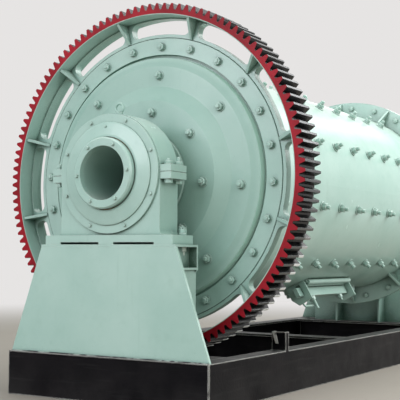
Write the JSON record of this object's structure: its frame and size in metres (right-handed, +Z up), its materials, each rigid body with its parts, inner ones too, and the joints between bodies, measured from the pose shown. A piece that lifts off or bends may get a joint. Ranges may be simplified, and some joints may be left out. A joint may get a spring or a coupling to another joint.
{
  "type": "ball mill",
  "caption": "Horizontal ball mill: flanged grinding drum with a toothed ring gear on its front head, hollow trunnions in pedestal bearings, on a welded base frame.",
  "frame": {"origin": "middle of the base frame's underside, below the middle of the drum", "axes": "+Z up, Y along the drum axis with the ring gear at -Y, X across"},
  "size_m": [2.232, 4.344, 2.4759],
  "materials": {
    "mill_green": "semi-gloss pale green machine paint",
    "gear_red": "red paint on the rim face, greased steel on the teeth",
    "base_black": "black paint",
    "journal_steel": "turned steel",
    "bush_bronze": "plain bearing metal"
  },
  "bodies": {
    "base": {"front_beam": "base_black", "rear_beam": "base_black", "left_beam": "base_black", "right_beam": "base_black", "front_cross_beam": "base_black", "middle_cross_beam": "base_black", "rear_cross_beam": "base_black", "front_pedestal": "mill_green", "front_pedestal_ribs": "mill_green", "front_pedestal_plate": "mill_green", "rear_pedestal": "mill_green", "rear_pedestal_ribs": "mill_green", "rear_pedestal_plate": "mill_green", "front_bearing_base": "mill_green", "front_bearing_cap": "mill_green", "front_bush": "bush_bronze", "front_end_cover": "mill_green", "front_seal_cover": "mill_green", "front_inner_cover": "mill_green", "front_lifting_eye": "mill_green", "rear_bearing_base": "mill_green", "rear_bearing_cap": "mill_green", "rear_bush": "bush_bronze", "rear_end_cover": "mill_green", "rear_seal_cover": "mill_green", "rear_inner_cover": "mill_green", "rear_lifting_eye": "mill_green"},
    "drum": {"shell": "mill_green", "front_shell_flange": "mill_green", "rear_shell_flange": "mill_green", "front_head": "mill_green", "rear_head": "mill_green", "front_trunnion": "journal_steel", "rear_trunnion": "journal_steel", "front_trunnion_ring": "mill_green", "rear_trunnion_ring": "mill_green", "gear_rim": "gear_red", "gear_web": "mill_green", "gear_ribs": "mill_green", "front_trunnion_flange": "mill_green", "rear_trunnion_flange": "mill_green", "manhole_pad": "mill_green", "manhole_cover": "mill_green", "manhole_brackets": "mill_green", "manhole_beam": "mill_green"}
  },
  "joints": [
    {"name": "drum_spin", "type": "hinge", "parent": "base", "child": "drum", "pos_m": [0, 0, 1.36], "axis": [0, 1, 0], "continuous": true}
  ]
}
